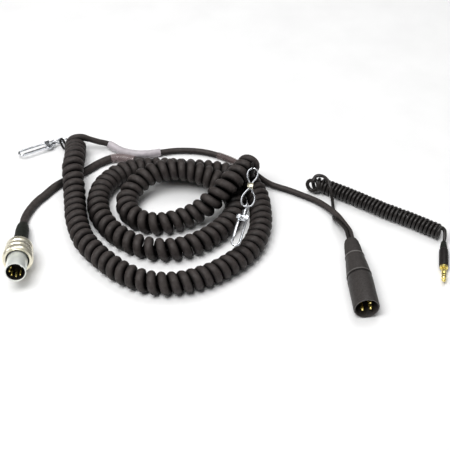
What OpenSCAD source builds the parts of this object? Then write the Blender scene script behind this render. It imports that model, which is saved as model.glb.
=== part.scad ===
// Curly field-audio cable laid in a three-loop spiral: a locking five-pin plug on one end,
// a three-pin connector with a thin curly mini-jack lead on the other, and two snap hooks.

/* [Curly cords] */
// Outer diameter of the heavy curly cord
coil_od = 18; // [16:0.5:18]
// Diameter of the plain lead to the locking plug
plug_lead_d = 6.4; // [6:0.1:6.6]
// Diameter of the plain lead to the three-pin connector
xlr_lead_d = 4.8; // [4.6:0.1:4.8]
// Outer diameter of the thin curly cord
thin_coil_od = 12.4; // [11.6:0.2:12.6]
// Diameter of the thin cord
thin_d = 2.6; // [2.2:0.1:3]

/* [Three-pin connector] */
// Diameter of the shell
xlr_d = 19; // [18.6:0.1:19.4]
// Bore of the shell around the pins
xlr_bore_d = 16.4; // [16:0.1:16.8]
// Diameter of one pin
xlr_pin_d = 2.4; // [2.2:0.1:2.6]
// Diameter of the circle that the pins stand on
xlr_pin_circle = 8.6; // [8:0.2:9]

/* [Locking plug] */
// Diameter of the front sleeve
sleeve_d = 15.4; // [15:0.1:15.8]
// Bore of the front sleeve
sleeve_bore_d = 14; // [13.6:0.1:14.2]
// Largest diameter of the coupling ring
ring_d = 23.2; // [22.8:0.2:23.6]
// Diameter of one contact pin
din_pin_d = 1.5; // [1.3:0.1:1.7]
// Diameter of the circle that the contact pins stand on
din_pin_circle = 8.9; // [8.5:0.1:9]

/* [Mini jack] */
// Diameter of the jack's contact shaft
jack_d = 3.5; // [3.4:0.05:3.6]
// Diameter of the moulded barrel
jack_barrel_d = 7.2; // [7:0.1:7.3]

/* [Snap hooks] */
// Length of a snap hook from its eye to its nose
hook_len = 38; // [37:0.5:39]
// Width of the hook over spine and gate
hook_w = 7.8; // [7.4:0.2:8.2]
// Thickness of the hook's wire
hook_bar = 1.8; // [1.6:0.1:1.9]
// Diameter of the wire in the links
link_wire_d = 1.5; // [1.3:0.1:1.6]

/* [Hidden] */

$fn = 48;
eps = 0.01;
// Moves the layout so that the origin is at the middle of its footprint
layout_shift = [1.9, -3.3, -0.05];

// Centre line of the heavy curly cord, from its far left end to its raised right end
coil_route = [[-126, 91.6, 9.6], [-125, 79, 11.5], [-124, 66, 15], [-124, 51, 15.4],
  [-122, 36, 12], [-119.5, 18, 9.4], [-116, -4, 9.2], [-108, -27, 9.2], [-94, -46, 9.2],
  [-76, -63, 9.2], [-56, -73, 9.2], [-36, -74, 9.2], [-16, -67.5, 9.2], [4, -54, 9.2],
  [19, -37, 9.2], [27, -16, 9.2], [28, 6, 9.2], [26.5, 23, 9.2], [21, 38, 9.2],
  [10, 49, 9.2], [-6, 55, 9.2], [-24, 57.5, 9.2], [-42, 59, 9.2], [-60, 60, 9.2],
  [-76, 57.5, 9.2], [-90, 49, 9.2], [-99, 34, 9.2], [-101, 16, 9.2], [-97, -1, 9.2],
  [-87, -17, 9.2], [-73, -29.5, 9.2], [-56, -37, 9.2], [-38, -37.5, 9.2],
  [-21, -30.5, 9.2], [-6, -18, 9.2], [5, -2.5, 9.2], [8.5, 12, 9.2], [6, 24, 10],
  [-3, 33, 14], [-16, 39.5, 18], [-32, 43.5, 20.5], [-48, 43.5, 20.5], [-62, 39.5, 18],
  [-73, 30, 13.5], [-78, 18, 10], [-75, 4, 9.2], [-64, -6, 9.2], [-49, -8.5, 9.2],
  [-34, -3.5, 9.6], [-21, 2, 12.5], [-9, 8, 20], [3, 18, 28], [12, 29, 30], [20, 41, 30]];
// Plain lead from the coil's left end to the three-pin connector
xlr_route = [[-126, 91.6, 15.4], [-120.5, 94.2, 14.6], [-115, 95, 12.4],
  [-107.5, 95.8, 9], [-99, 96, 6.2], [-88, 89.5, 4.2], [-77, 84.5, 5], [-66, 84.5, 4.5], [-55, 88, 3.5],
  [-40, 91, 3.2], [-22, 90, 3.2], [-6, 84.5, 3.2], [9, 75, 3.2], [22, 63, 3.2],
  [36, 47.5, 3.2], [53, 38.5, 3], [64, 31.9, 3], [74, 25.2, 3.2], [82, 16, 4.2],
  [88.7, 4.6, 5.9], [93.2, -7, 7.2], [96.2, -17, 8.7], [96.9, -23.9, 8.9],
  [97.7, -33.8, 8.95]];
// Plain lead from the locking plug, under the coil, to the coil's raised right end
plug_route = [[-157.9, -9.6, 5.15], [-158.4, -3.6, 3.75], [-158.1, 5, 3.35], [-155.8, 14, 3.3],
  [-151.5, 24, 3.3], [-145.5, 33, 3.3], [-138, 44, 3.3], [-127, 54, 3.3], [-115, 64, 3.3], [-106, 73, 3.3],
  [-96, 79, 3.9], [-86, 80, 3.9], [-76, 77, 3.9], [-64, 74.5, 3.4], [-44, 72.5, 3.3],
  [-22, 70.5, 3.3], [-4, 68, 3.3], [9, 65, 4.5], [18, 60.5, 8.5], [22.5, 53.5, 15],
  [24, 45, 21.5], [23.9, 38.6, 26]];
// Thin cord from the three-pin connector's boot over the thin coil to its left end
thin_route = [[94.7, -34, 11.15], [93.9, -24.2, 11.15], [92.9, -17, 10.8], [89.2, -7, 8.7],
  [86.1, 1, 5.1], [86.2, 5.5, 2], [86.9, 11.5, 1.35], [86.6, 17.5, 2.2], [86, 22, 6.5],
  [85, 26, 12], [83.6, 30.5, 16], [81.8, 36, 17.2], [78.2, 40.6, 16.8],
  [73.5, 41.5, 15.6], [70.4, 38.8, 13.8]];
// Centre line of the thin coil, from its left end to the mini jack's end
thin_coil_route = [[70.2, 37.6, 8.6], [73.2, 40.6, 7.5], [78.8, 40.6, 6.8],
  [87.5, 36.3, 6.4], [97, 30.4, 6.4], [112, 20.3, 6.4], [128, 9.5, 6.4], [144, 0, 6.4],
  [156, -8, 6.4], [167, -15.5, 6.4]];
// Thin cord from the thin coil's right end to the mini jack
jack_route = [[167, -15.5, 10.5], [169.5, -17, 9.8], [169.8, -20.5, 7], [168.7, -25, 4.2]];

// Facets round a heavy cord and round a thin one
ring_sides = 12;
thin_sides = 8;

// A point on the smooth curve through a route, t counted in route points
function route_point(r, t) =
  let (i = min(floor(t), len(r) - 2), f = t - i,
    a = r[max(i - 1, 0)], b = r[i], c = r[i + 1], d = r[min(i + 2, len(r) - 1)])
  0.5 * (2 * b + (c - a) * f + (2 * a - 5 * b + 4 * c - d) * f * f
    + (3 * b - a - 3 * c + d) * f * f * f);
function unit(v) = v / norm(v);
// Direction of a route at one of its points
function route_dir(r, i) =
  i == 0 ? unit(r[1] - r[0])
  : i == len(r) - 1 ? unit(r[i] - r[i - 1])
  : unit(r[i + 1] - r[i - 1]);
// Carries a sideways vector along the route, so that the tube doesn't twist
function carry(u, d) = unit(u - (u * d) * d);
function sides_along(r, i = 0, u = [0, 0, 1]) =
  i >= len(r) ? []
  : let (w = carry(u, route_dir(r, i))) concat([w], sides_along(r, i + 1, w));

// One closed tube along a route, a ring of points at each route point
module route_tube(r, d, sides) {
  us = sides_along(r);
  pts = [for (i = [0:len(r) - 1]) for (k = [0:sides - 1])
    let (u = us[i], v = cross(route_dir(r, i), u), a = 360 * (k + 0.5) / sides)
    r[i] + (u * cos(a) + v * sin(a)) * d / 2];
  n = len(r);
  walls = [for (i = [0:n - 2]) for (k = [0:sides - 1]) for (h = [0, 1])
    let (k2 = (k + 1) % sides, a = i * sides + k, b = i * sides + k2,
      c = (i + 1) * sides + k2, e = (i + 1) * sides + k)
    h == 0 ? [a, e, c] : [a, c, b]];
  start_cap = [[for (k = [0:sides - 1]) k]];
  end_cap = [[for (k = [sides - 1:-1:0]) (n - 1) * sides + k]];
  polyhedron(points = pts, faces = concat(walls, start_cap, end_cap));
}

// Part of a route, from one point number to another
function stretch(r, a, b) = [for (i = [a:b]) r[i]];

module main_coil() color("#2b2725") translate(layout_shift)
  route_tube(coil_route, coil_od, ring_sides);
module plug_lead() color("#262322") translate(layout_shift)
  route_tube(plug_route, plug_lead_d, thin_sides);
module xlr_lead() color("#262322") translate(layout_shift)
  route_tube(xlr_route, xlr_lead_d, thin_sides);
module jack_lead() color("#262322") translate(layout_shift)
  route_tube(thin_route, thin_d, thin_sides);
module jack_coil() color("#2b2725") translate(layout_shift)
  route_tube(thin_coil_route, thin_coil_od, ring_sides);
module jack_tail() color("#262322") translate(layout_shift)
  route_tube(jack_route, thin_d, thin_sides);

// Hollow tube on a lead, over its route points a to b
module route_sleeve(r, a, b, d_in, d_out, sides) {
  s = stretch(r, a, b);
  us = sides_along(s);
  n = len(s);
  function ring(i, d) = [for (k = [0:sides - 1])
    let (u = us[i], v = cross(route_dir(s, i), u), g = 360 * (k + 0.5) / sides)
    s[i] + (u * cos(g) + v * sin(g)) * d / 2];
  pts = concat([for (i = [0:n - 1]) each ring(i, d_out)],
    [for (i = [0:n - 1]) each ring(i, d_in)]);
  inner = n * sides;
  outer_walls = [for (i = [0:n - 2]) for (k = [0:sides - 1]) for (h = [0, 1])
    let (k2 = (k + 1) % sides, p = i * sides + k, q = i * sides + k2,
      t = (i + 1) * sides + k2, w = (i + 1) * sides + k)
    h == 0 ? [p, w, t] : [p, t, q]];
  inner_walls = [for (f = outer_walls) [f[2] + inner, f[1] + inner, f[0] + inner]];
  rims = [for (k = [0:sides - 1]) for (h = [0:3])
    let (k2 = (k + 1) % sides, e = (n - 1) * sides)
    h == 0 ? [k, k2, inner + k2] : h == 1 ? [k, inner + k2, inner + k]
    : h == 2 ? [e + k, inner + e + k, inner + e + k2]
    : [e + k, inner + e + k2, e + k2]];
  polyhedron(points = pts, faces = concat(outer_walls, inner_walls, rims));
}

sleeve_gap = 0.12;
// Bore of a faceted sleeve that clears a faceted lead of diameter d
function sleeve_bore(d) = (d + sleeve_gap) / cos(180 / thin_sides);

// First and last route points under each sleeve
label_span = [4, 8];
clear_span = [11, 13];
plug_clear_span = [10, 12];

module label_sleeve() color("#c8bec3") translate(layout_shift)
  route_sleeve(xlr_route, label_span[0], label_span[1], sleeve_bore(xlr_lead_d),
    xlr_lead_d + 1.6, thin_sides);
module clear_sleeve() color("#8a7f80") translate(layout_shift)
  route_sleeve(xlr_route, clear_span[0], clear_span[1], sleeve_bore(xlr_lead_d),
    xlr_lead_d + 1.4, thin_sides);
module plug_clear_sleeve() color("#d8c8c8") translate(layout_shift)
  route_sleeve(plug_route, plug_clear_span[0], plug_clear_span[1],
    sleeve_bore(plug_lead_d), plug_lead_d + 1.2, thin_sides);

// A solid of revolution from [radius, height] points
module turned(profile) rotate_extrude() polygon(profile);
// A ring of rectangular section between two heights
module ring(r_in, r_out, z0, z1)
  turned([[r_in, z0], [r_out, z0], [r_out, z1], [r_in, z1]]);

// ---- Locking five-pin plug, built up its own axis from the cable end to the mouth ----
plug_pos = [-158.2, -5.7, 4.25];
plug_turn = 4.6;
plug_pitch = 13;
plug_len = 70;
boot_len = 31;
boot_bore = plug_lead_d / 2 + 0.12;
shell_r = 6.6;
ring_start = 33.3;
ring_end = 53;
// Height at which the front sleeve steps up to its full diameter
sleeve_step = 53.2;
ring_r = ring_d / 2;
ring_bore = sleeve_d / 2 + 0.35;
insert_z = [55, 60.5];
shell_end = 41;
key_angle = 43;
contact_step = 45;

module at_plug() translate(layout_shift + plug_pos)
  rotate([90 - plug_pitch, 0, plug_turn]) children();

module plug_boot() color("#20241f") at_plug() turned([
  [boot_bore, 0], [4, 0], [4.3, 1], [4.9, 4], [5.2, 7], [5.3, 12], [5.2, 12.6],
  [5.4, 18], [5.3, 18.6], [5.5, 24], [5.4, 24.6], [5.7, 30], [5.7, boot_len],
  [boot_bore, boot_len]]);

module plug_back_shell() color("#cfc8b4") at_plug() turned([
  [4.9, boot_len + 0.1], [6.2, boot_len + 0.1], [8, 32], [8.6, ring_start - 0.3],
  [shell_r, ring_start - 0.3], [shell_r, shell_end], [4.9, shell_end]]);

module plug_cable_clamp() color("#b9b4a8") at_plug() difference() {
  ring(boot_bore, 4.8, 32, 40.5);
  for (a = [0, 90]) rotate([0, 0, a]) translate([-6, -0.35, 35]) cube([12, 0.7, 7]);
}

module plug_front_sleeve() color("#ddd8c8") at_plug() {
  ring(sleeve_bore_d / 2, sleeve_d / 2 - 0.2, shell_end + 0.1, sleeve_step);
  ring(sleeve_bore_d / 2, sleeve_d / 2, sleeve_step, plug_len);
  // Step that joins the sleeve to the back shell
  ring(4.9, sleeve_bore_d / 2 + eps, shell_end + 0.1, 43);
  // Key inside the mouth
  rotate([0, 0, key_angle]) translate([sleeve_bore_d / 2 - 1.1, -1, 61])
    cube([1.4, 2, plug_len - 62]);
}

module plug_insert() color("#161514") at_plug() difference() {
  translate([0, 0, insert_z[0]])
    cylinder(h = insert_z[1] - insert_z[0], r = sleeve_bore_d / 2 - 0.05);
  for (i = [-2:2]) rotate([0, 0, key_angle + 180 + i * contact_step])
    translate([din_pin_circle / 2, 0, insert_z[0] - 1])
      cylinder(h = insert_z[1] - insert_z[0] + 2, d = din_pin_d, $fn = 24);
}

module plug_contacts() color("#d9b25a") at_plug()
  for (i = [-2:2]) rotate([0, 0, key_angle + 180 + i * contact_step])
    translate([din_pin_circle / 2, 0, 51.5]) {
      cylinder(h = 16.3, d = din_pin_d, $fn = 24);
      translate([0, 0, 16.3]) cylinder(h = 0.7, d1 = din_pin_d, d2 = 0.8, $fn = 24);
    }

module plug_ring_retainer() color("#c2bba8") at_plug()
  ring(shell_r + 0.05, shell_r + 0.9, 38.4, 39.4);

// Coupling ring: three ribs that grow towards the mouth, with a plain bore that turns
// on the sleeve and a wider chamber over the retainer
module plug_coupling_ring() color("#d6cfbb") at_plug() turned([
  [shell_r + 0.35, ring_start], [9.4, ring_start], [10.3, 34.3], [10.3, 38], [9.1, 39.2],
  [9.1, 40.2], [11, 41.3], [11, 44.9], [9.7, 46], [9.7, 47], [ring_r, 48.1],
  [ring_r, 51.4], [ring_r - 1, ring_end], [ring_r - 2.8, ring_end], [ring_bore, 51.5],
  [ring_bore, 36.5], [shell_r + 0.35, 36.5]]);

// ---- Three-pin connector, built up its own axis from the cable end to the mouth ----
xlr_pos = [96, -26, 9.55];
xlr_turn = 4.4;
// Turn of the pin pattern about the connector's own axis
xlr_roll = 54;
xlr_len = 74.5;
xlr_boot_z = [3, 20];
xlr_joint = 42.3;
xlr_insert_z = [50, 56];
xlr_r = xlr_d / 2;
// Where the two leads enter the boot
lead_seat = [1.1, -0.6];
thin_seat = [-1.9, 1.6];

module at_xlr() translate(layout_shift + xlr_pos)
  rotate([90, 0, xlr_turn]) children();

module xlr_boot() color("#24241f") at_xlr() difference() {
  union() {
    turned([[0, xlr_boot_z[0]], [4.3, xlr_boot_z[0]], [4.8, 3.6], [5.6, 6], [6.2, 10],
      [6.6, 15], [6.8, 19], [6.8, xlr_boot_z[1]], [0, xlr_boot_z[1]]]);
    translate([0, 0, xlr_boot_z[1] - eps]) cylinder(h = 5, r = 5.4);
  }
  translate([lead_seat[0], lead_seat[1], -1]) cylinder(h = 28, d = xlr_lead_d + 0.25);
  translate([thin_seat[0], thin_seat[1], -1]) cylinder(h = 28, d = thin_d + 0.25);
}

module xlr_bushing() color("#3a3734") at_xlr() turned([
  [5.5, xlr_boot_z[1] + 0.1], [6.8, xlr_boot_z[1] + 0.1], [7.3, 20.7], [7.3, 21.7],
  [7.1, 22.1], [8.1, 29], [8.8, 36], [9.2, 40.6], [9.4, 41.2], [9.3, xlr_joint],
  [7.4, xlr_joint], [7.4, 27], [5.5, 25.3]]);

module xlr_chuck() color("#d8d2c4") at_xlr() difference() {
  ring(3.9, 7.2, 27.5, 44);
  for (a = [0:60:120]) rotate([0, 0, a]) translate([-8, -0.4, 33]) cube([16, 0.8, 12]);
}

module xlr_shell() color("#3a3734") at_xlr() turned([
  [7.4, xlr_joint + 0.5], [8.6, xlr_joint + 0.5], [8.6, xlr_joint + 1.2],
  [9.2, xlr_joint + 1.6], [9.2, 45.6], [xlr_r, 46], [xlr_r, xlr_len - 0.6],
  [xlr_r - 0.5, xlr_len], [xlr_bore_d / 2 + 0.5, xlr_len],
  [xlr_bore_d / 2, xlr_len - 0.5], [xlr_bore_d / 2, xlr_insert_z[0]],
  [7.4, xlr_insert_z[0] - 0.6]]);

module xlr_pin_places() for (a = [180, 270, 0]) rotate([0, 0, xlr_roll + a])
  translate([xlr_pin_circle / 2, 0, 0]) children();

module xlr_insert() color("#151413") at_xlr() difference() {
  translate([0, 0, xlr_insert_z[0] + 0.05])
    cylinder(h = xlr_insert_z[1] - xlr_insert_z[0], r = xlr_bore_d / 2 - 0.05);
  xlr_pin_places() cylinder(h = 100, d = xlr_pin_d, $fn = 32);
}

module xlr_pins() color("#d9b25a") at_xlr() xlr_pin_places() {
  translate([0, 0, 44]) cylinder(h = 27.6, d = xlr_pin_d, $fn = 32);
  translate([0, 0, 71.6]) cylinder(h = 0.9, d1 = xlr_pin_d, d2 = 1.3, $fn = 32);
}

// ---- Mini jack, built up its own axis from the cable end to the tip ----
jack_pos = [168.6, -24.4, 3.8];
jack_turn = -8;
jack_r = jack_d / 2;
barrel_z = [8, 27];

module at_jack() translate(layout_shift + jack_pos)
  rotate([90, 0, jack_turn]) children();

module jack_relief() color("#262322") at_jack() difference() {
  turned([[0, 0], [1.9, 0], [2.2, 0.6], [2.1, 1.6], [2.4, 2.2], [2.2, 3.4], [2.6, 4],
    [2.4, 5.2], [2.8, 5.8], [2.7, barrel_z[0] - 0.1], [0, barrel_z[0] - 0.1]]);
  translate([0, 0, -1]) cylinder(h = 6, d = thin_d + 0.2);
}

module jack_barrel() color("#2d2a28") at_jack() turned([
  [0, barrel_z[0]], [2.9, barrel_z[0]], [3.4, 9], [jack_barrel_d / 2, 12],
  [jack_barrel_d / 2, 26], [3.3, barrel_z[1]], [0, barrel_z[1]]]);

module jack_collar() color("#d9b25a") at_jack()
  turned([[0, barrel_z[1] + 0.02], [3, barrel_z[1] + 0.02], [3.1, 27.4], [3.1, 28.6],
    [2.6, 29], [0, 29]]);

module jack_sleeve_contact() color("#d9b25a") at_jack()
  translate([0, 0, 29.02]) cylinder(h = 6.6, r = jack_r);

module jack_insulators() color("#1b1918") at_jack() {
  translate([0, 0, 35.64]) cylinder(h = 0.7, r = jack_r);
  translate([0, 0, 37.98]) cylinder(h = 0.7, r = jack_r);
}

module jack_ring_contact() color("#d9b25a") at_jack()
  translate([0, 0, 36.36]) cylinder(h = 1.6, r = jack_r);

module jack_tip() color("#d9b25a") at_jack() turned([
  [0, 38.7], [jack_r, 38.7], [jack_r, 39.2], [1.05, 40.1], [1.6, 41.2], [1.4, 41.9],
  [0.7, 42.7], [0, 42.9]]);

// ---- Snap hooks; each is built along +X from the eye, with its flat face up ----
bar_r = hook_bar / 2;
bar_y = hook_w / 2 - bar_r;
nose_r = bar_y;
nose_x = hook_len - bar_r - nose_r;
collar_x = [4.6, 10];
pivot = [11.6, bar_y];
gate_len = nose_x - pivot[0] - 0.7;
wire_r = link_wire_d / 2;
hook_a_at = [-141.3, 102.3, 4.8];
hook_a_turn = [0, 0, 209.5];
link_a_turn = [0, 0, 7];
link_a_size = [9, 7, 3.5, 9, 6];
hook_b_at = [16.4, -13, 30.8];
hook_b_turn = [180, 12, -104.5];
link_b_turn = [0, -6.9, 81.5];
link_b_size = [20, 11.5, 4.5, 17, 9.5];

module at_hook_a(turn) translate(layout_shift + hook_a_at) rotate(turn) children();
module at_hook_b(turn) translate(layout_shift + hook_b_at) rotate(turn) children();

// Swivel eye: a ring round the wire and a headed stem that turns in the collar
module swivel_eye() {
  difference() {
    rotate([90, 0, 0]) translate([0.4, 0, 0]) rotate_extrude()
      translate([2.3, 0]) circle(r = 0.75, $fn = 24);
    translate([3, -2, -2]) cube([4, 4, 4]);
  }
  translate([2.6, 0, 0]) rotate([0, 90, 0]) cylinder(h = 4.6, r = 0.9, $fn = 32);
  translate([7, 0, 0]) rotate([0, 90, 0]) cylinder(h = 1.2, r = 1.5, $fn = 32);
}

// Body: collar round the stem, spine, and the nose that the gate closes against
module hook_body() {
  difference() {
    union() {
      translate([collar_x[0], 0, 0]) rotate([0, 90, 0])
        turned([[0, 0], [2.1, 0], [2.6, 0.5], [2.6, 1.5], [2.3, 1.9], [2.3, 5.4], [0, 5.4]]);
      // Shoulder from the collar to the spine and to the gate's pivot
      translate([8.6, -bar_y - bar_r, -1.3]) cube([4.4, hook_w - 0.3, 2.6]);
    }
    rotate([0, 90, 0]) cylinder(h = 7, r = 1.1, $fn = 32);
    translate([6.8, 0, 0]) rotate([0, 90, 0]) cylinder(h = 1.7, r = 1.75, $fn = 32);
    // Slot that the gate turns in
    translate([7.6, bar_y - 1.75, -0.75]) cube([9, 4, 1.5]);
    translate([pivot[0], pivot[1], -3]) cylinder(h = 6, r = 0.55, $fn = 24);
  }
  translate([12.9, -bar_y, 0]) rotate([0, 90, 0])
    cylinder(h = nose_x - 12.9, r = bar_r, $fn = 32);
  translate([nose_x, 0, 0]) rotate([0, 0, -90]) rotate_extrude(angle = 180)
    translate([nose_r, 0]) circle(r = bar_r, $fn = 32);
}

// Gate with its thumb nub, turning on the pivot pin
module hook_gate() difference() {
  union() {
    translate([pivot[0], pivot[1], -0.6]) cylinder(h = 1.2, r = 1.4, $fn = 32);
    translate([pivot[0], pivot[1] - 0.75, -0.6]) cube([gate_len, 1.5, 1.2]);
    translate([pivot[0] + 3.2, pivot[1] - 0.85, -0.85]) cube([gate_len - 3.2, 1.7, 1.7]);
    // Thumb nub behind the pivot
    translate([pivot[0] - 2.6, pivot[1] + 0.4, -0.6]) cube([2.8, 1.9, 1.2]);
  }
  translate([pivot[0], pivot[1], -3]) cylinder(h = 6, r = 0.65, $fn = 24);
}

module gate_pin() translate([pivot[0], pivot[1], -1.6]) {
  cylinder(h = 3.2, r = 0.5, $fn = 24);
  cylinder(h = 0.28, r = 0.9, $fn = 24);
  translate([0, 0, 2.92]) cylinder(h = 0.28, r = 0.9, $fn = 24);
}

// Flat spring, let into the shoulder behind the gate
module gate_spring() translate([9.2, bar_y - 1.72, -0.5]) cube([1.4, 0.22, 1]);

// Half width of the throat, where the two strands run side by side
throat = wire_r + 0.1;
wire_arc_steps = 12;
// Outline of a teardrop loop, l long and w wide over the wire, from one strand of its
// throat round the far end to the other
function teardrop(l, w) =
  let (r = w / 2 - wire_r, a = 90 - atan2(r - throat, l - r))
  [for (i = [0:wire_arc_steps])
    let (g = a + (360 - 2 * a) * i / wire_arc_steps) [r + r * cos(g), r * sin(g)]];

// Figure-of-eight link: s = [near loop length, its width, ferrule length, far loop
// length, its width]
function link_outline(s) =
  let (whole = s[0] + s[2] + s[3], far = teardrop(s[3], s[4]))
  concat(teardrop(s[0], s[1]), [[s[0], -throat], [s[0] + s[2], -throat]],
    [for (i = [len(far) - 1:-1:0]) [whole - far[i][0], far[i][1]]],
    [[s[0] + s[2], throat], [s[0], throat]]);

// A closed ring of wire along a flat outline
module closed_wire(outline, d, sides) {
  n = len(outline);
  pts = [for (i = [0:n - 1])
    let (run = unit(outline[(i + 1) % n] - outline[(i + n - 1) % n]),
      v = [run[1], -run[0]])
    for (k = [0:sides - 1]) let (g = 360 * (k + 0.5) / sides)
      [outline[i][0] + v[0] * sin(g) * d / 2, outline[i][1] + v[1] * sin(g) * d / 2,
        cos(g) * d / 2]];
  faces = [for (i = [0:n - 1]) for (k = [0:sides - 1]) for (h = [0, 1])
    let (i2 = (i + 1) % n, k2 = (k + 1) % sides, a = i * sides + k, b = i * sides + k2,
      c = i2 * sides + k2, e = i2 * sides + k)
    h == 0 ? [a, e, c] : [a, c, b]];
  polyhedron(points = pts, faces = faces);
}

module wire_link(s) translate([-wire_r - 0.05, 0, 0])
  closed_wire(link_outline(s), link_wire_d, 10);

module link_ferrule(s) translate([-wire_r - 0.05, 0, 0]) difference() {
  translate([s[0] + 0.2, 0, 0]) rotate([0, 90, 0]) linear_extrude(s[2] - 0.4)
    square([3.2, 4.4], center = true);
  for (m = [-1, 1]) translate([s[0] - 1, m * throat, 0]) rotate([0, 90, 0])
    cylinder(h = s[2] + 2, r = wire_r + 0.02, $fn = 24);
}

// Round cord ring that ties a link to the coil
module cord_tie(r) rotate_extrude() translate([r, 0]) circle(r = 0.9, $fn = 24);

module hook_a_eye() color("#c9ccd0") at_hook_a(hook_a_turn) swivel_eye();
module hook_a_body() color("#d4d7da") at_hook_a(hook_a_turn) hook_body();
module hook_a_gate() color("#e2e4e6") at_hook_a(hook_a_turn) hook_gate();
module hook_a_pivot_pin() color("#b8bbbf") at_hook_a(hook_a_turn) gate_pin();
module hook_a_spring() color("#a8abb0") at_hook_a(hook_a_turn) gate_spring();
module hook_a_link() color("#dfe1e2") at_hook_a(link_a_turn) wire_link(link_a_size);
module hook_a_ferrule() color("#e6e2cf") at_hook_a(link_a_turn) link_ferrule(link_a_size);
module hook_a_cord_tie() color("#1a1817") translate(layout_shift + [-137.6, 95.9, 6.5])
  rotate([0, 90, 35]) cord_tie(4.6);

module hook_b_eye() color("#c9ccd0") at_hook_b(hook_b_turn) swivel_eye();
module hook_b_body() color("#d4d7da") at_hook_b(hook_b_turn) hook_body();
module hook_b_gate() color("#e2e4e6") at_hook_b(hook_b_turn) hook_gate();
module hook_b_pivot_pin() color("#b8bbbf") at_hook_b(hook_b_turn) gate_pin();
module hook_b_spring() color("#a8abb0") at_hook_b(hook_b_turn) gate_spring();
module hook_b_link() color("#dfe1e2") at_hook_b(link_b_turn) wire_link(link_b_size);
module hook_b_ferrule() color("#e6e2cf") at_hook_b(link_b_turn) link_ferrule(link_b_size);
module hook_b_cord_tie() color("#1a1817") translate(layout_shift + [21.8, 30, 33.6])
  rotate([0, 90, 0]) cord_tie(3.6);

main_coil();
plug_lead();
xlr_lead();
jack_lead();
jack_coil();
jack_tail();
label_sleeve();
clear_sleeve();
plug_clear_sleeve();
plug_boot();
plug_back_shell();
plug_cable_clamp();
plug_front_sleeve();
plug_insert();
plug_contacts();
plug_ring_retainer();
plug_coupling_ring();
xlr_shell();
xlr_insert();
xlr_pins();
xlr_chuck();
xlr_bushing();
xlr_boot();
jack_relief();
jack_barrel();
jack_collar();
jack_sleeve_contact();
jack_insulators();
jack_ring_contact();
jack_tip();
hook_a_cord_tie();
hook_a_link();
hook_a_ferrule();
hook_a_eye();
hook_a_body();
hook_a_gate();
hook_a_pivot_pin();
hook_a_spring();
hook_b_cord_tie();
hook_b_link();
hook_b_ferrule();
hook_b_eye();
hook_b_body();
hook_b_gate();
hook_b_pivot_pin();
hook_b_spring();
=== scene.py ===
import math

import bmesh
import bpy
from mathutils import Matrix, Vector


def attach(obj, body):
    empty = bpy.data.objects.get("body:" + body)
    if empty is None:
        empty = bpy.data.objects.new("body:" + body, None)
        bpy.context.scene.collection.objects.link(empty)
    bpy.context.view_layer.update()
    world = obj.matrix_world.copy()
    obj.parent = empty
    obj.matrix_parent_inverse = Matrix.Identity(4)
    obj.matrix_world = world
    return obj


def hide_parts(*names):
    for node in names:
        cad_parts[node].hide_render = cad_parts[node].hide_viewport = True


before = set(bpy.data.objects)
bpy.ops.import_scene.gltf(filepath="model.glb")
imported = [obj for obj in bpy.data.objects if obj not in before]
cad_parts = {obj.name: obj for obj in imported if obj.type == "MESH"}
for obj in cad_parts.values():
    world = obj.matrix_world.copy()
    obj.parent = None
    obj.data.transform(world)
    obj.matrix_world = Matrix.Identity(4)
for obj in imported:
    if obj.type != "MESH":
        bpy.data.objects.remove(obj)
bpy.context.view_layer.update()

MM = 0.001
TAU = 2 * math.pi
# The layout's own zero, in the row frame
SHIFT = Vector((1.9, -3.3, -0.05)) * MM


def place(x, y, z):
    """A point of the layout, given in millimetres, in the row frame."""
    return Vector((x, y, z)) * MM + SHIFT


def link(obj):
    bpy.context.scene.collection.objects.link(obj)
    return obj


# ---------------------------------------------------------------- camera
CAMERA_DISTANCE = 0.874
CAMERA_ELEVATION = math.radians(42)
CAMERA_LENS = 88.5
CAMERA_FAR = 20

camera_data = bpy.data.cameras.new("camera")
camera_data.lens = CAMERA_LENS
camera_data.clip_end = CAMERA_FAR
camera = link(bpy.data.objects.new("camera", camera_data))
away = Vector((0, -math.cos(CAMERA_ELEVATION), math.sin(CAMERA_ELEVATION)))
camera.location = SHIFT + away * CAMERA_DISTANCE
camera.rotation_euler = (-away).to_track_quat("-Z", "Y").to_euler()
bpy.context.scene.camera = camera

# ---------------------------------------------------------------- routes, in millimetres
COIL_ROUTE = [
    (-126, 91.6, 9.6), (-125, 79, 11.5), (-124, 66, 15), (-124, 51, 15.4),
    (-122, 36, 12), (-119.5, 18, 9.4), (-116, -4, 9.2), (-108, -27, 9.2),
    (-94, -46, 9.2), (-76, -63, 9.2), (-56, -73, 9.2), (-36, -74, 9.2),
    (-16, -67.5, 9.2), (4, -54, 9.2), (19, -37, 9.2), (27, -16, 9.2),
    (28, 6, 9.2), (26.5, 23, 9.2), (21, 38, 9.2), (10, 49, 9.2),
    (-6, 55, 9.2), (-24, 57.5, 9.2), (-42, 59, 9.2), (-60, 60, 9.2),
    (-76, 57.5, 9.2), (-90, 49, 9.2), (-99, 34, 9.2), (-101, 16, 9.2),
    (-97, -1, 9.2), (-87, -17, 9.2), (-73, -29.5, 9.2), (-56, -37, 9.2),
    (-38, -37.5, 9.2), (-21, -30.5, 9.2), (-6, -18, 9.2), (5, -2.5, 9.2),
    (8.5, 12, 9.2), (6, 24, 10), (-3, 33, 14), (-16, 39.5, 18),
    (-32, 43.5, 20.5), (-48, 43.5, 20.5), (-62, 39.5, 18), (-73, 30, 13.5),
    (-78, 18, 10), (-75, 4, 9.2), (-64, -6, 9.2), (-49, -8.5, 9.2),
    (-34, -3.5, 9.6), (-21, 2, 12.5), (-9, 8, 20), (3, 18, 28),
    (12, 29, 30), (20, 41, 30),
]
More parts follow.
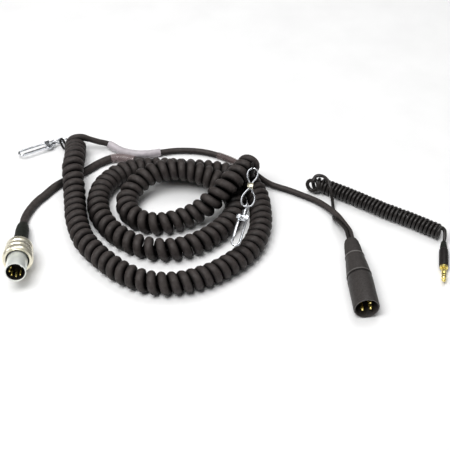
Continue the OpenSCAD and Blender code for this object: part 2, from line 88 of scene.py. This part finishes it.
XLR_ROUTE = [
    (-126, 91.6, 15.4), (-120.5, 94.2, 14.6), (-115, 95, 12.4), (-107.5, 95.8, 9),
    (-99, 96, 6.2), (-88, 89.5, 4.2), (-77, 84.5, 5), (-66, 84.5, 4.5),
    (-55, 88, 3.5), (-40, 91, 3.2), (-22, 90, 3.2), (-6, 84.5, 3.2),
    (9, 75, 3.2), (22, 63, 3.2), (36, 47.5, 3.2), (53, 38.5, 3),
    (64, 31.9, 3), (74, 25.2, 3.2), (82, 16, 4.2), (88.7, 4.6, 5.9),
    (93.2, -7, 7.2), (96.2, -17, 8.7), (96.9, -23.9, 8.9), (97.7, -33.8, 8.95),
]
PLUG_ROUTE = [
    (-157.9, -9.6, 5.15), (-158.4, -3.6, 3.75), (-158.1, 5, 3.35), (-155.8, 14, 3.3),
    (-151.5, 24, 3.3), (-145.5, 33, 3.3), (-138, 44, 3.3), (-127, 54, 3.3),
    (-115, 64, 3.3), (-106, 73, 3.3), (-96, 79, 3.9), (-86, 80, 3.9),
    (-76, 77, 3.9), (-64, 74.5, 3.4), (-44, 72.5, 3.3), (-22, 70.5, 3.3),
    (-4, 68, 3.3), (9, 65, 4.5), (18, 60.5, 8.5), (22.5, 53.5, 15),
    (24, 45, 21.5), (23.9, 38.6, 26),
]
THIN_ROUTE = [
    (94.7, -34, 11.15), (93.9, -24.2, 11.15), (92.9, -17, 10.8), (89.2, -7, 8.7),
    (86.1, 1, 5.1), (86.2, 5.5, 2), (86.9, 11.5, 1.35), (86.6, 17.5, 2.2), (86, 22, 6.5),
    (85, 26, 12), (83.6, 30.5, 16), (81.8, 36, 17.2), (78.2, 40.6, 16.8),
    (73.5, 41.5, 15.6), (70.4, 38.8, 13.8),
]
THIN_COIL_ROUTE = [
    (70.2, 37.6, 8.6), (73.2, 40.6, 7.5), (78.8, 40.6, 6.8), (87.5, 36.3, 6.4),
    (97, 30.4, 6.4), (112, 20.3, 6.4), (128, 9.5, 6.4), (144, 0, 6.4), (156, -8, 6.4),
    (167, -15.5, 6.4),
]
JACK_ROUTE = [
    (167, -15.5, 10.5), (169.5, -17, 9.8), (169.8, -20.5, 7), (168.7, -25, 4.2),
]

CORD_D = 6.4
XLR_LEAD_D = 4.8
COIL_OD = 18.0
THIN_D = 2.6
THIN_COIL_OD = 12.4


def smooth(points, steps):
    """A dense list of points on the smooth curve through the given ones."""
    found = []
    last = len(points) - 1
    for i in range(last):
        a = points[max(i - 1, 0)]
        b = points[i]
        c = points[i + 1]
        d = points[min(i + 2, last)]
        for k in range(steps):
            t = k / steps
            found.append(0.5 * (
                2 * b + (c - a) * t
                + (2 * a - 5 * b + 4 * c - d) * t * t
                + (3 * b - a - 3 * c + d) * t ** 3
            ))
    found.append(points[-1].copy())
    return found


def lengths(points):
    """Length along a dense line up to each of its points."""
    total = [0.0]
    for a, b in zip(points, points[1:]):
        total.append(total[-1] + (b - a).length)
    return total


def between(table, x):
    """The value at x in a list of (x, value) pairs, in straight lines."""
    if x <= table[0][0]:
        return table[0][1]
    for (x0, y0), (x1, y1) in zip(table, table[1:]):
        if x <= x1:
            return y0 + (y1 - y0) * (x - x0) / (x1 - x0)
    return table[-1][1]


def uneven(x):
    """A smooth wandering value from about -1 to 1."""
    return 0.5 * math.sin(1.7 * x + 0.4) + 0.3 * math.sin(3.9 * x + 2.1) + 0.2 * math.sin(8.3 * x)


# Dense points for each stretch of a coil's route
HELIX_STEPS = 40


def helix(route, pitches, radius, hand, start, end, per_turn, wobble):
    """Points of a curly cord along a route, all in millimetres. The pitch follows a table by
    route point; the turn angle is 0 at the top, and the whole number of turns is fitted so
    that the cord starts at one angle and ends at the other. Each turn has per_turn points, and
    wobble is how much the radius wanders, as a share."""
    line = smooth([Vector(p) for p in route], HELIX_STEPS)
    at = lengths(line)
    turns = [0.0]
    for i in range(1, len(line)):
        pitch = between(pitches, i / HELIX_STEPS)
        turns.append(turns[-1] + (at[i] - at[i - 1]) / pitch)
    odd = (hand * (end - start) / TAU) % 1.0
    whole = round(turns[-1] - odd) + odd
    scale = whole / turns[-1]
    count = int(whole * per_turn)
    found = []
    i = 0
    for k in range(count + 1):
        t = k / count * turns[-1]
        while i < len(line) - 2 and turns[i + 1] < t:
            i += 1
        f = (t - turns[i]) / (turns[i + 1] - turns[i])
        centre = line[i].lerp(line[i + 1], f)
        ahead = (line[min(i + 2, len(line) - 1)] - line[max(i - 1, 0)]).normalized()
        up = (Vector((0, 0, 1)) - ahead * ahead.z).normalized()
        side = ahead.cross(up)
        angle = start + hand * TAU * t * scale
        r = radius * (1 + wobble * uneven(t * 0.9)) if 1 < t < turns[-1] - 1 else radius
        found.append(centre + (up * math.cos(angle) + side * math.sin(angle)) * r)
    return found


# Dense points for each stretch of a lead, and how far into the coil its last stretch looks
LEAD_STEPS = 12
LOOK_AHEAD = 3


def joined(lead, coil):
    """A lead's dense points, up to and with the first point of the coil that it meets. The last
    stretch leans towards a point further on in the coil."""
    guide = [Vector(p) for p in lead[:-1]] + [coil[0], coil[LOOK_AHEAD]]
    return smooth(guide, LEAD_STEPS)[:-LEAD_STEPS]


def cord_curve(name, points, radii, diameter):
    """A round cord as one open curve; points in millimetres of the layout."""
    data = bpy.data.curves.new(name, "CURVE")
    data.dimensions = "3D"
    data.bevel_depth = diameter * MM / 2
    data.bevel_resolution = 5
    data.use_fill_caps = True
    spline = data.splines.new("POLY")
    spline.points.add(len(points) - 1)
    for p, place_mm, r in zip(spline.points, points, radii):
        p.co = (*(place_mm * MM + SHIFT), 1)
        p.radius = r
    spline.use_smooth = True
    return link(bpy.data.objects.new(name, data))


# Spacing of the heavy coil's turns, by route point
PITCHES = [
    (0, 7.4), (6, 7.5), (7, 8.1), (10, 8.3), (12, 7.4), (17, 7.0), (22, 7.2),
    (23, 6.8), (26, 6.8), (28, 8.4), (31, 8.8), (33, 8), (34, 7.4), (39, 7.3),
    (41, 7.5), (44, 7.9), (46, 8.2), (50, 8.3), (51, 8), (52, 7.6), (53, 7.2),
]
PER_TURN = 20
# The jacket swells where the cord is set into its curl
COIL_CORD_D = 7.3
SWELL = COIL_CORD_D / CORD_D
COIL_R = (COIL_OD - COIL_CORD_D) / 2
COIL_WOBBLE = 0.025
END_B_ANGLE = math.radians(120)
coil = helix(COIL_ROUTE, PITCHES, COIL_R, 1, 0, END_B_ANGLE, PER_TURN, COIL_WOBBLE)
plug_side = joined(PLUG_ROUTE, list(reversed(coil)))
xlr_side = joined(list(reversed(XLR_ROUTE)), coil)
xlr_side.reverse()
# plug_side ends on the point that the coil starts from here, so that point is there twice
main_points = plug_side + list(reversed(coil)) + xlr_side[1:]
# Length of lead, in millimetres, over which the jacket loses its swelling
TAPER_LENGTH = 12


def tapered(points, near, far):
    """Radius shares along a lead that leaves a coil: near at the coil, far on the lead."""
    return [near + (far - near) * min(s / TAPER_LENGTH, 1) for s in lengths(points)]


main_radii = (
    list(reversed(tapered(list(reversed(plug_side)), SWELL, 1.0)))
    + [SWELL] * len(coil)
    + tapered(xlr_side[1:], SWELL, XLR_LEAD_D / CORD_D)
)
main_cord = cord_curve("main_cord", main_points, main_radii, CORD_D)

# Spacing of the thin coil's turns, by route point
THIN_PITCHES = [(0, 3.7), (1, 3.7), (2, 3.5), (3, 3.35), (9, 3.35)]
THIN_COIL_CORD_D = 3.1
THIN_SWELL = THIN_COIL_CORD_D / THIN_D
THIN_COIL_R = (THIN_COIL_OD - THIN_COIL_CORD_D) / 2
THIN_COIL_WOBBLE = 0.03
thin_coil = helix(
    THIN_COIL_ROUTE, THIN_PITCHES, THIN_COIL_R, -1, 0, 0, PER_TURN, THIN_COIL_WOBBLE
)
thin_in = joined(THIN_ROUTE, thin_coil)
thin_out = joined(list(reversed(JACK_ROUTE)), list(reversed(thin_coil)))
thin_out.reverse()
# The point where thin_in meets the coil is there twice
thin_points = thin_in + thin_coil + thin_out[1:]
thin_radii = (
    list(reversed(tapered(list(reversed(thin_in)), THIN_SWELL, 1.0)))
    + [THIN_SWELL] * len(thin_coil)
    + tapered(thin_out[1:], THIN_SWELL, 1.0)
)
thin_cord = cord_curve("thin_cord", thin_points, thin_radii, THIN_D)


# ---------------------------------------------------------------- materials
# Painted shade in crevices: how sharply it darkens, and the colour that it darkens to
CREVICE_SHADE_DEPTH = 3.4
CREVICE_SHADE_COLOUR = (0.002, 0.0017, 0.0016, 1)
CREVICE_SHADE_SAMPLES = 8
# Where on the noise the mottling and the smudges run from one end to the other
MOTTLE_RANGE = (0.3, 0.72)
SMUDGE_RANGE = (0.35, 0.65)
BUMP_STRENGTH = 0.6
COAT_ROUGHNESS = 0.12


def finish_material(
    name, low, high, rough, metallic=0.0, grain=2.0, bump=0.02, coat=0.0, alpha=1.0, sheen=0.0,
    specular=0.5, crevice_shade=0.0
):
    """A procedural finish. Colour wanders between low and high, roughness between the two
    values of rough; grain is the size of the mottling in millimetres, bump the depth of a finer
    roughness. specular is the specular level. The last argument is the reach in millimetres
    within which a neighbouring surface darkens the colour as painted shade, and 0 is none."""
    made = bpy.data.materials.new(name)
    made.use_nodes = True
    tree = made.node_tree
    shader = tree.nodes["Principled BSDF"]
    coords = tree.nodes.new("ShaderNodeTexCoord")

    def noise(scale, detail):
        node = tree.nodes.new("ShaderNodeTexNoise")
        node.inputs["Scale"].default_value = scale
        node.inputs["Detail"].default_value = detail
        tree.links.new(coords.outputs["Object"], node.inputs["Vector"])
        return node

    mottle = noise(1 / (grain * MM), 4)
    ramp = tree.nodes.new("ShaderNodeValToRGB")
    ramp.color_ramp.elements[0].position = MOTTLE_RANGE[0]
    ramp.color_ramp.elements[1].position = MOTTLE_RANGE[1]
    ramp.color_ramp.elements[0].color = (*low, 1)
    ramp.color_ramp.elements[1].color = (*high, 1)
    tree.links.new(mottle.outputs["Fac"], ramp.inputs["Fac"])
    if crevice_shade:
        # Painted shade: the colour darkens where turns and ribs lie close to a neighbouring
        # surface
        hollow = tree.nodes.new("ShaderNodeAmbientOcclusion")
        hollow.inputs["Distance"].default_value = crevice_shade * MM
        hollow.samples = CREVICE_SHADE_SAMPLES
        depth = tree.nodes.new("ShaderNodeMath")
        depth.operation = "POWER"
        depth.inputs[1].default_value = CREVICE_SHADE_DEPTH
        shade = tree.nodes.new("ShaderNodeMix")
        shade.data_type = "RGBA"
        shade.inputs["A"].default_value = CREVICE_SHADE_COLOUR
        tree.links.new(hollow.outputs["AO"], depth.inputs[0])
        tree.links.new(depth.outputs["Value"], shade.inputs["Factor"])
        tree.links.new(ramp.outputs["Color"], shade.inputs["B"])
        tree.links.new(shade.outputs["Result"], shader.inputs["Base Color"])
    else:
        tree.links.new(ramp.outputs["Color"], shader.inputs["Base Color"])

    smudges = noise(0.35 / (grain * MM), 6)
    spread = tree.nodes.new("ShaderNodeMapRange")
    spread.inputs["From Min"].default_value = SMUDGE_RANGE[0]
    spread.inputs["From Max"].default_value = SMUDGE_RANGE[1]
    spread.inputs["To Min"].default_value = rough[0]
    spread.inputs["To Max"].default_value = rough[1]
    tree.links.new(smudges.outputs["Fac"], spread.inputs["Value"])
    tree.links.new(spread.outputs["Result"], shader.inputs["Roughness"])

    fine = noise(6 / (grain * MM), 3)
    height = tree.nodes.new("ShaderNodeBump")
    height.inputs["Strength"].default_value = BUMP_STRENGTH
    height.inputs["Distance"].default_value = bump * MM
    tree.links.new(fine.outputs["Fac"], height.inputs["Height"])
    tree.links.new(height.outputs["Normal"], shader.inputs["Normal"])

    shader.inputs["Metallic"].default_value = metallic
    shader.inputs["Specular IOR Level"].default_value = specular
    shader.inputs["Coat Weight"].default_value = coat
    shader.inputs["Coat Roughness"].default_value = COAT_ROUGHNESS
    shader.inputs["Sheen Weight"].default_value = sheen
    shader.inputs["Alpha"].default_value = alpha
    return made


# Painted shade: the jacket's colour darkens between neighbouring turns of the coil
jacket = finish_material(
    "cord_jacket", (0.036, 0.0302, 0.0288), (0.060, 0.0514, 0.0486), (0.44, 0.58), grain=3,
    bump=0.03, specular=0.14, crevice_shade=9
)
# Painted shade: the thin jacket's colour darkens between neighbouring turns
thin_jacket = finish_material(
    "thin_jacket", (0.016, 0.0138, 0.0131), (0.032, 0.0281, 0.0267), (0.26, 0.38), grain=2,
    bump=0.02, specular=0.3, crevice_shade=4.5
)
boot_rubber = finish_material(
    "boot_rubber", (0.013, 0.0145, 0.012), (0.023, 0.025, 0.021), (0.55, 0.72), grain=1.5,
    bump=0.05, specular=0.08
)
grip_rubber = finish_material(
    "grip_rubber", (0.036, 0.032, 0.031), (0.054, 0.049, 0.047), (0.55, 0.72), grain=1.2,
    bump=0.06, specular=0.1
)
# A paler colour for the thin rims round the three-pin connector
pale_rim = finish_material(
    "pale_rim", (0.10, 0.094, 0.090), (0.15, 0.142, 0.137), (0.35, 0.5), grain=1, bump=0.01,
    specular=0.3
)
shell_black = finish_material(
    "shell_black", (0.036, 0.0325, 0.031), (0.056, 0.051, 0.049), (0.42, 0.55), grain=1.2,
    bump=0.02, specular=0.14
)
# Painted shade: the nickel's colour darkens in its narrow grooves and recesses
nickel = finish_material(
    "nickel", (0.80, 0.75, 0.58), (0.94, 0.90, 0.76), (0.24, 0.38), metallic=0.8, grain=4,
    bump=0.008, crevice_shade=1.5
)
bright_nickel = finish_material(
    "bright_nickel", (0.84, 0.88, 0.83), (0.95, 0.97, 0.93), (0.30, 0.44), metallic=0.55, grain=4,
    bump=0.006
)
# Dark brown colour painted into the coupling ring's grooves as shade
groove_shade = finish_material(
    "groove_shade", (0.06, 0.05, 0.032), (0.12, 0.10, 0.07), (0.4, 0.55), metallic=0.5, grain=1,
    bump=0.01
)
gold = finish_material(
    "gold", (0.84, 0.66, 0.17), (0.96, 0.83, 0.32), (0.18, 0.3), metallic=0.9, grain=1.5,
    bump=0.004
)
chrome = finish_material(
    "hook_chrome", (0.50, 0.52, 0.55), (0.80, 0.82, 0.85), (0.10, 0.22), metallic=1, grain=2,
    bump=0.004
)
ferrule_metal = finish_material(
    "ferrule_metal", (0.62, 0.58, 0.42), (0.84, 0.80, 0.64), (0.2, 0.34), metallic=1, grain=1,
    bump=0.02
)
insulator = finish_material(
    "dark_insulator", (0.008, 0.007, 0.007), (0.016, 0.0145, 0.014), (0.4, 0.55), grain=2,
    bump=0.01, specular=0.15
)
chuck_plastic = finish_material(
    "chuck_plastic", (0.55, 0.52, 0.45), (0.66, 0.63, 0.56), (0.4, 0.5), grain=2, bump=0.01
)
barrel_black = finish_material(
    "barrel_black", (0.012, 0.0105, 0.010), (0.024, 0.021, 0.020), (0.38, 0.5), grain=2,
    bump=0.015, specular=0.15
)
label_plastic = finish_material(
    "label_plastic", (0.38, 0.35, 0.37), (0.52, 0.48, 0.505), (0.42, 0.6), grain=5, bump=0.03,
    coat=0.1
)
clear_film = finish_material(
    "clear_film", (0.20, 0.15, 0.145), (0.32, 0.25, 0.24), (0.14, 0.25), grain=5, bump=0.01,
    coat=0.3, alpha=0.25
)
pale_film = finish_material(
    "pale_film", (0.60, 0.46, 0.46), (0.74, 0.60, 0.60), (0.14, 0.25), grain=5, bump=0.01,
    coat=0.3, alpha=0.16
)
tie_cord = finish_material(
    "tie_cord", (0.006, 0.0055, 0.005), (0.014, 0.013, 0.012), (0.7, 0.85), grain=0.4, bump=0.12,
    sheen=0.1, specular=0.08
)


def dress(obj, made):
    """Give an object one material."""
    obj.data.materials.clear()
    obj.data.materials.append(made)
    return obj


LOOKS = {
    "plug_boot": boot_rubber, "plug_back_shell": nickel, "plug_cable_clamp": nickel,
    "plug_front_sleeve": bright_nickel, "plug_insert": insulator, "plug_contacts": gold,
    "plug_ring_retainer": nickel, "plug_coupling_ring": nickel,
    "xlr_shell": shell_black, "xlr_insert": insulator, "xlr_pins": gold,
    "xlr_chuck": chuck_plastic, "xlr_bushing": shell_black, "xlr_boot": grip_rubber,
    "jack_relief": boot_rubber, "jack_barrel": barrel_black, "jack_collar": gold,
    "jack_sleeve_contact": gold, "jack_insulators": insulator, "jack_ring_contact": gold,
    "jack_tip": gold,
}
for hook in "ab":
    LOOKS[f"hook_{hook}_cord_tie"] = tie_cord
    LOOKS[f"hook_{hook}_ferrule"] = ferrule_metal
    for part in ("eye", "body", "gate", "pivot_pin", "spring"):
        LOOKS[f"hook_{hook}_{part}"] = chrome

SHARP_ANGLE = math.radians(32)
EDGE_WIDTH = 0.00012
WELD_GAP = 1e-6
for node, made in LOOKS.items():
    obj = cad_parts[node]
    dress(obj, made)
    weld = obj.modifiers.new("weld", "WELD")
    weld.merge_threshold = WELD_GAP
    bevel = obj.modifiers.new("edge", "BEVEL")
    bevel.width = EDGE_WIDTH
    bevel.segments = 2
    bevel.limit_method = "ANGLE"
    bevel.angle_limit = SHARP_ANGLE
    bevel.harden_normals = False
    obj.data.polygons.foreach_set("use_smooth", [True] * len(obj.data.polygons))
    obj.data.set_sharp_from_angle(angle=SHARP_ANGLE)

dress(main_cord, jacket)
dress(thin_cord, thin_jacket)

# ---------------------------------------------------------------- sleeves on the leads
SLEEVE_SIDES = 40
SLEEVE_STEPS = 14
SLEEVE_RIM = 0.12
SLEEVE_SHARP = math.radians(50)


def sleeve(name, route, first, last, bore, outside, made, wrinkle):
    """A thin tube on a lead, over its route points first to last."""
    line = smooth([Vector(p) for p in route], SLEEVE_STEPS)
    line = line[first * SLEEVE_STEPS:last * SLEEVE_STEPS + 1]
    at = lengths(line)
    mesh = bpy.data.meshes.new(name)
    work = bmesh.new()
    rings = []
    total = len(line) - 1

    def add_ring(i, radius, wall):
        ahead = (line[min(i + 1, total)] - line[max(i - 1, 0)]).normalized()
        up = (Vector((0, 0, 1)) - ahead * ahead.z).normalized()
        side = ahead.cross(up)
        ring = []
        for k in range(SLEEVE_SIDES):
            a = TAU * k / SLEEVE_SIDES
            r = radius + wall * wrinkle * uneven(at[i] * 0.5 + 2.2 * math.sin(a))
            spot = line[i] + (up * math.cos(a) + side * math.sin(a)) * r
            ring.append(work.verts.new(spot * MM + SHIFT))
        rings.append(ring)

    add_ring(0, outside / 2 - SLEEVE_RIM, 0)
    for i in range(total + 1):
        add_ring(i, outside / 2, 1)
    add_ring(total, outside / 2 - SLEEVE_RIM, 0)
    for i in range(total, -1, -1):
        add_ring(i, bore / 2, 0)
    for a, b in zip(rings, rings[1:] + rings[:1]):
        for k in range(SLEEVE_SIDES):
            k2 = (k + 1) % SLEEVE_SIDES
            work.faces.new((a[k], b[k], b[k2], a[k2]))
    bmesh.ops.recalc_face_normals(work, faces=work.faces)
    work.to_mesh(mesh)
    work.free()
    mesh.polygons.foreach_set("use_smooth", [True] * len(mesh.polygons))
    mesh.set_sharp_from_angle(angle=SLEEVE_SHARP)
    return dress(link(bpy.data.objects.new(name, mesh)), made)


# ---------------------------------------------------------------- pieces of the connectors
def along_axis(x, y, z, pitch, turn):
    """The frame of a connector that is built up its own axis from a point in millimetres."""
    return (
        Matrix.Translation(place(x, y, z))
        @ Matrix.Rotation(math.radians(turn), 4, "Z")
        @ Matrix.Rotation(math.radians(90 - pitch), 4, "X")
    )


def turned(name, profile, matrix, made, sides=96):
    """A closed solid of revolution from (radius, height) pairs in millimetres."""
    mesh = bpy.data.meshes.new(name)
    work = bmesh.new()
    rings = [
        [
            work.verts.new(Vector((
                r * math.cos(TAU * k / sides), r * math.sin(TAU * k / sides), z
            )) * MM)
            for k in range(sides)
        ]
        for r, z in profile
    ]
    for a, b in zip(rings, rings[1:] + rings[:1]):
        for k in range(sides):
            k2 = (k + 1) % sides
            work.faces.new((a[k], a[k2], b[k2], b[k]))
    bmesh.ops.recalc_face_normals(work, faces=work.faces)
    work.to_mesh(mesh)
    work.free()
    mesh.polygons.foreach_set("use_smooth", [True] * len(mesh.polygons))
    mesh.set_sharp_from_angle(angle=SHARP_ANGLE)
    made_piece = dress(link(bpy.data.objects.new(name, mesh)), made)
    made_piece.matrix_world = matrix
    return made_piece


PLUG = along_axis(-158.2, -5.7, 4.25, 13, 4.6)
# A dark lining inside the plug's mouth: painted shade where the inside of the front sleeve would
# show bright metal
plug_mouth_shade = turned(
    "plug_mouth_shade",
    [(6.94, 60.6), (6.94, 69.4), (6.72, 69.4), (6.6, 69), (6.6, 60.6)], PLUG, insulator,
)
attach(plug_mouth_shade, "root")

# Painted shade in the grooves between the coupling ring's ribs: radius, lower and upper height
GROOVES = ((9.1, 39.25, 40.15), (9.7, 46.05, 46.95))
for number, (radius, low, high) in enumerate(GROOVES):
    inner, outer = radius - 0.05, radius + 0.1
    groove = turned(
        f"plug_groove_{number}", [(inner, low), (outer, low), (outer, high), (inner, high)],
        PLUG, groove_shade,
    )
    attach(groove, "coupling_ring")

XLR = along_axis(96, -26, 9.55, 0, 4.4)


BAND_SOFT = 0.12


def band(name, inner, outer, low, high, made):
    """A thin band round the three-pin connector, with a softened outer edge."""
    piece = turned(
        name,
        [(inner, low), (outer - BAND_SOFT, low), (outer, low + BAND_SOFT),
         (outer, high - BAND_SOFT), (outer - BAND_SOFT, high), (inner, high)], XLR, made,
    )
    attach(piece, "root")


band("xlr_boot_rim", 7.0, 7.42, 20.6, 21.8, pale_rim)
band("xlr_bushing_rim", 9.1, 9.46, 41.1, 41.8, pale_rim)
band("xlr_joint_seal", 7.45, 9.02, 42.35, 43.85, insulator)
band("xlr_mouth_rim", 8.72, 9.12, 74.2, 74.56, pale_rim)

label = sleeve("label_tube", XLR_ROUTE, 4, 8, XLR_LEAD_D + 0.2, 6.4, label_plastic, 0.12)
clear = sleeve("clear_tube", XLR_ROUTE, 11, 13, XLR_LEAD_D + 0.2, 6.1, clear_film, 0.04)
plug_clear = sleeve("plug_clear_tube", PLUG_ROUTE, 10, 12, CORD_D + 0.2, 7.5, pale_film, 0.06)

# ---------------------------------------------------------------- wire links of the hooks
# Diameter of the wire, and how far the link's round end lies behind the point that it hangs on
LINK_WIRE = 1.5
LINK_SET_BACK = 0.8
LINK_STEPS = 8
# Half of one loop, from its round end to its throat, in shares of its length and half width
HALF_LOOP = ((0, 0), (0.11, 0.72), (0.34, 1.0), (0.6, 0.88), (0.84, 0.45))
# Half the distance between the two strands in the ferrule
THROAT = 0.85


def wire_link(name, at, pitch, turn, near, neck, far):
    """A figure-of-eight wire; near and far are the length and width of its loops, and neck is
    the length of the straight part between them."""
    matrix = (
        Matrix.Translation(Vector(at)) @ Matrix.Rotation(math.radians(turn), 4, "Z")
        @ Matrix.Rotation(math.radians(pitch), 4, "Y")
    )
    whole = near[0] + neck + far[0]
    upper = [
        Vector((x * near[0], y * (near[1] - LINK_WIRE) / 2, 0)) for x, y in HALF_LOOP
    ]
    upper += [Vector((near[0], THROAT, 0)), Vector((near[0] + neck, THROAT, 0))]
    upper += [
        Vector((whole - x * far[0], y * (far[1] - LINK_WIRE) / 2, 0))
        for x, y in reversed(HALF_LOOP)
    ]
    lower = [Vector((v.x, -v.y, 0)) for v in reversed(upper[1:-1])]
    outline = smooth(upper + lower + upper[:1], LINK_STEPS)[:-1]
    points = [matrix @ (v - Vector((LINK_SET_BACK, 0, 0))) for v in outline]
    wire = cord_curve(name, points, [1.0] * len(points), LINK_WIRE)
    wire.data.splines[0].use_cyclic_u = True
    return dress(wire, chrome)


link_a = wire_link("link_a_wire", (-141.3, 102.3, 4.8), 0, 7, (9, 7), 3.5, (9, 6))
link_b = wire_link("link_b_wire", (16.4, -13, 30.8), -6.9, 81.5, (20, 11.5), 4.5, (17, 9.5))
for piece, node in ((link_a, "hook_a_link"), (link_b, "hook_b_link")):
    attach(piece, "root")
    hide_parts(node)

# ---------------------------------------------------------------- bodies of the sleeves and cords
for piece, node, slot in (
    (label, "label_sleeve", "pale_sleeve"),
    (clear, "clear_sleeve", "clear_film"),
    (plug_clear, "plug_clear_sleeve", "pale_film"),
):
    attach(piece, "root")
    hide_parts(node)

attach(main_cord, "root")
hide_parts("main_coil", "plug_lead", "xlr_lead")
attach(thin_cord, "root")
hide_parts("jack_lead", "jack_coil", "jack_tail")

# ---------------------------------------------------------------- floor and light
floor_mesh = bpy.data.meshes.new("floor")
FLOOR_HALF = 3.0
FLOOR_DROP = 0.0002
floor_mesh.from_pydata(
    [(-FLOOR_HALF, -FLOOR_HALF, 0), (FLOOR_HALF, -FLOOR_HALF, 0),
     (FLOOR_HALF, FLOOR_HALF, 0), (-FLOOR_HALF, FLOOR_HALF, 0)], [], [(0, 1, 2, 3)],
)
floor = link(bpy.data.objects.new("floor", floor_mesh))
floor.location.z = -FLOOR_DROP
dress(floor, finish_material(
    "floor_paper", (0.86, 0.86, 0.86), (0.9, 0.9, 0.9), (0.85, 0.95), grain=40, bump=0.02
))


def soft_light(name, spot, size, power, colour=(1, 1, 1)):
    """A round lamp at a spot, in metres, that shines at the middle of the layout."""
    data = bpy.data.lights.new(name, "AREA")
    data.shape = "DISK"
    data.size = size
    data.energy = power
    data.color = colour
    lamp = link(bpy.data.objects.new(name, data))
    lamp.location = spot
    lamp.rotation_euler = Vector(spot).to_track_quat("Z", "Y").to_euler()


soft_light("key", (-0.40, -0.45, 1.35), 1.0, 20)
soft_light("top", (0.3, 0.6, 1.5), 1.0, 8)
soft_light("left", (-1.2, 0.1, 0.7), 0.6, 2, (1, 0.98, 0.95))

# The surroundings, from dim below to white above
SKY_LOW = (0.25, (0.08, 0.08, 0.085, 1))
SKY_HIGH = (0.75, (1, 1, 1, 1))
SKY_STRENGTH = 0.25
world = bpy.data.worlds.new("studio")
world.use_nodes = True
sky = world.node_tree
sky_coords = sky.nodes.new("ShaderNodeTexCoord")
sky_parts = sky.nodes.new("ShaderNodeSeparateXYZ")
sky_ramp = sky.nodes.new("ShaderNodeValToRGB")
for stop, (position, colour) in zip(sky_ramp.color_ramp.elements, (SKY_LOW, SKY_HIGH)):
    stop.position = position
    stop.color = colour
sky.links.new(sky_coords.outputs["Generated"], sky_parts.inputs["Vector"])
sky.links.new(sky_parts.outputs["Z"], sky_ramp.inputs["Fac"])
sky.links.new(sky_ramp.outputs["Color"], sky.nodes["Background"].inputs["Color"])
sky.nodes["Background"].inputs["Strength"].default_value = SKY_STRENGTH
bpy.context.scene.world = world
bpy.context.scene.view_settings.view_transform = "Standard"
